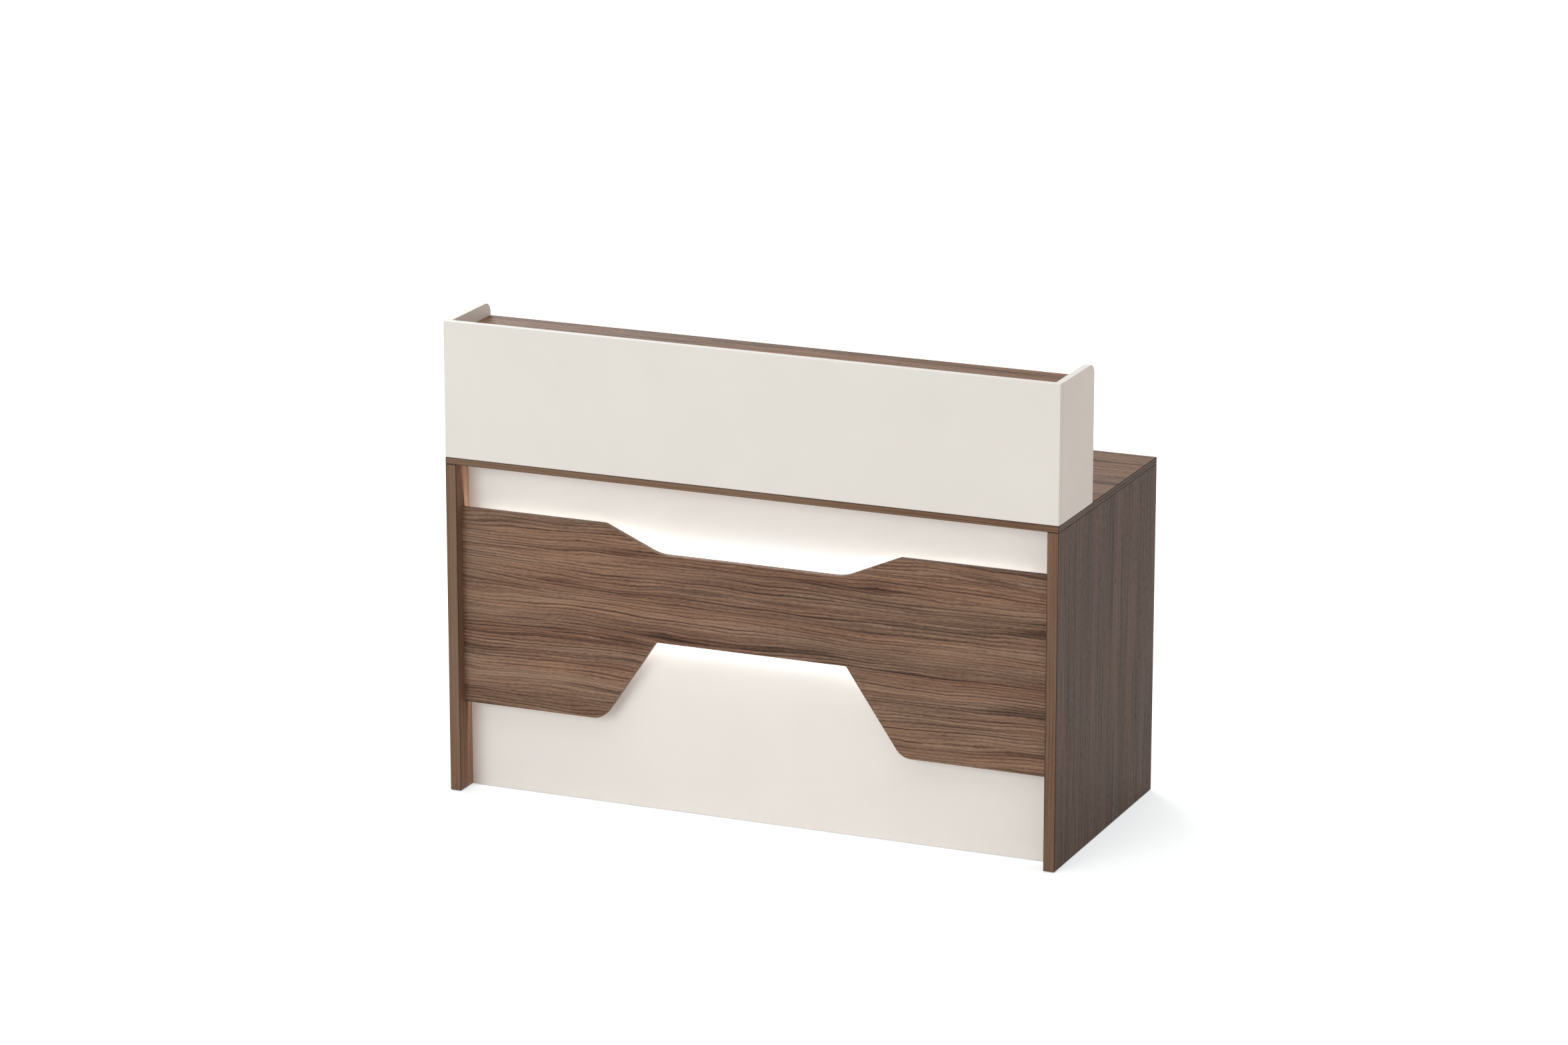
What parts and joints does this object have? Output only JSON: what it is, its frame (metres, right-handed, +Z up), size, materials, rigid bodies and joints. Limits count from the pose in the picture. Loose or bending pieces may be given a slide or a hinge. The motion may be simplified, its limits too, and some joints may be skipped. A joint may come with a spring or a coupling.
{
  "type": "reception desk",
  "caption": "Reception desk with walnut ends and worktop, a raised white counter with a shelf, and a notched walnut fascia lit from behind before a white panel.",
  "frame": {"origin": "on the floor under the middle of the desk", "axes": "+X along the width to the visitor's right, +Y from the visitor's side to the staff side, +Z up"},
  "size_m": [1.4, 0.6, 1.05],
  "materials": {
    "walnut_laminate": "walnut-grain melamine on board, satin, with matching edge band",
    "white_laminate": "warm white melamine on board, satin, with matching edge band",
    "softwood": "planed softwood",
    "anodised_aluminium": "satin anodised",
    "led_strip": "flexible circuit with white solder mask",
    "opal_diffuser": "opal cover, lit from inside",
    "black_plastic": "fine moulded texture",
    "grey_plastic": "fine moulded texture",
    "lead_sheath": "smooth sheath",
    "black_nylon": "fine moulded texture",
    "bright_steel": "zinc plated",
    "cast_zinc": "die-cast, dull",
    "brass": "turned"
  },
  "bodies": {
    "desk": {"left_end_panel": "walnut_laminate", "right_end_panel": "walnut_laminate", "worktop": "walnut_laminate", "fascia_panel": "walnut_laminate", "counter_shelf": "walnut_laminate", "stiffener_rail": "walnut_laminate", "front_panel": "white_laminate", "counter_front_panel": "white_laminate", "counter_left_cheek": "white_laminate", "counter_right_cheek": "white_laminate", "upper_spacer_batten": "softwood", "lower_spacer_batten": "softwood", "upper_led_channel": "anodised_aluminium", "lower_led_channel": "anodised_aluminium", "upper_led_strip": "led_strip", "lower_led_strip": "led_strip", "upper_diffuser": "opal_diffuser", "lower_diffuser": "opal_diffuser", "led_driver": "black_plastic", "switch_housing": "grey_plastic", "upper_led_lead": "lead_sheath", "lower_led_lead": "lead_sheath", "grommet_liner": "black_nylon", "fascia_screw_upper_left": "bright_steel", "fascia_screw_upper_right": "bright_steel", "fascia_screw_lower_left": "bright_steel", "fascia_screw_lower_right": "bright_steel", "counter_screw_front_left": "bright_steel", "counter_screw_front_right": "bright_steel", "counter_screw_cheek_left": "bright_steel", "counter_screw_cheek_right": "bright_steel", "panel_cam_bolt_upper_left": "bright_steel", "panel_cam_bolt_upper_right": "bright_steel", "panel_cam_bolt_lower_left": "bright_steel", "panel_cam_bolt_lower_right": "bright_steel", "worktop_cam_bolt_left": "bright_steel", "worktop_cam_bolt_right": "bright_steel", "worktop_cam_bolt_front": "bright_steel", "panel_cam_upper_left": "cast_zinc", "panel_cam_upper_right": "cast_zinc", "panel_cam_lower_left": "cast_zinc", "panel_cam_lower_right": "cast_zinc", "worktop_cam_left": "cast_zinc", "worktop_cam_right": "cast_zinc", "worktop_cam_front": "cast_zinc", "glide_insert_front_left": "brass", "glide_insert_front_right": "brass", "glide_insert_rear_left": "brass", "glide_insert_rear_right": "brass"},
    "grommet_cap": {"grommet_cap": "black_nylon"},
    "switch_rocker": {"switch_rocker": "black_plastic"},
    "front_left_pad": {"glide_pad_front_left": "black_nylon"},
    "front_left_stud": {"glide_stud_front_left": "bright_steel"},
    "front_right_pad": {"glide_pad_front_right": "black_nylon"},
    "front_right_stud": {"glide_stud_front_right": "bright_steel"},
    "rear_left_pad": {"glide_pad_rear_left": "black_nylon"},
    "rear_left_stud": {"glide_stud_rear_left": "bright_steel"},
    "rear_right_pad": {"glide_pad_rear_right": "black_nylon"},
    "rear_right_stud": {"glide_stud_rear_right": "bright_steel"}
  },
  "joints": [
    {"name": "switch_rock", "type": "hinge", "parent": "desk", "child": "switch_rocker", "pos_m": [0.43, -0.2019, 0.4825], "axis": [1, 0, 0], "range_deg": [-20, 0]},
    {"name": "grommet_turn", "type": "hinge", "parent": "desk", "child": "grommet_cap", "pos_m": [0.43, -0.03, 0.75], "axis": [0, 0, 1], "continuous": true},
    {"name": "front_left_rise", "type": "slide", "parent": "desk", "child": "front_left_pad", "axis": [0, 0, -1], "range_m": [0, 0.01]},
    {"name": "front_left_screw", "type": "hinge", "parent": "front_left_pad", "child": "front_left_stud", "pos_m": [-0.6875, -0.26, 0], "axis": [0, 0, -1], "range_deg": [0, 2880]},
    {"name": "front_right_rise", "type": "slide", "parent": "desk", "child": "front_right_pad", "axis": [0, 0, -1], "range_m": [0, 0.01]},
    {"name": "front_right_screw", "type": "hinge", "parent": "front_right_pad", "child": "front_right_stud", "pos_m": [0.6875, -0.26, 0], "axis": [0, 0, -1], "range_deg": [0, 2880]},
    {"name": "rear_left_rise", "type": "slide", "parent": "desk", "child": "rear_left_pad", "axis": [0, 0, -1], "range_m": [0, 0.01]},
    {"name": "rear_left_screw", "type": "hinge", "parent": "rear_left_pad", "child": "rear_left_stud", "pos_m": [-0.6875, 0.26, 0], "axis": [0, 0, -1], "range_deg": [0, 2880]},
    {"name": "rear_right_rise", "type": "slide", "parent": "desk", "child": "rear_right_pad", "axis": [0, 0, -1], "range_m": [0, 0.01]},
    {"name": "rear_right_screw", "type": "hinge", "parent": "rear_right_pad", "child": "rear_right_stud", "pos_m": [0.6875, 0.26, 0], "axis": [0, 0, -1], "range_deg": [0, 2880]}
  ],
  "couplings": [
    {"joint": "front_left_rise", "follows": "front_left_screw", "m_per_rad": 0.00019894},
    {"joint": "front_right_rise", "follows": "front_right_screw", "m_per_rad": 0.00019894},
    {"joint": "rear_left_rise", "follows": "rear_left_screw", "m_per_rad": 0.00019894},
    {"joint": "rear_right_rise", "follows": "rear_right_screw", "m_per_rad": 0.00019894}
  ]
}
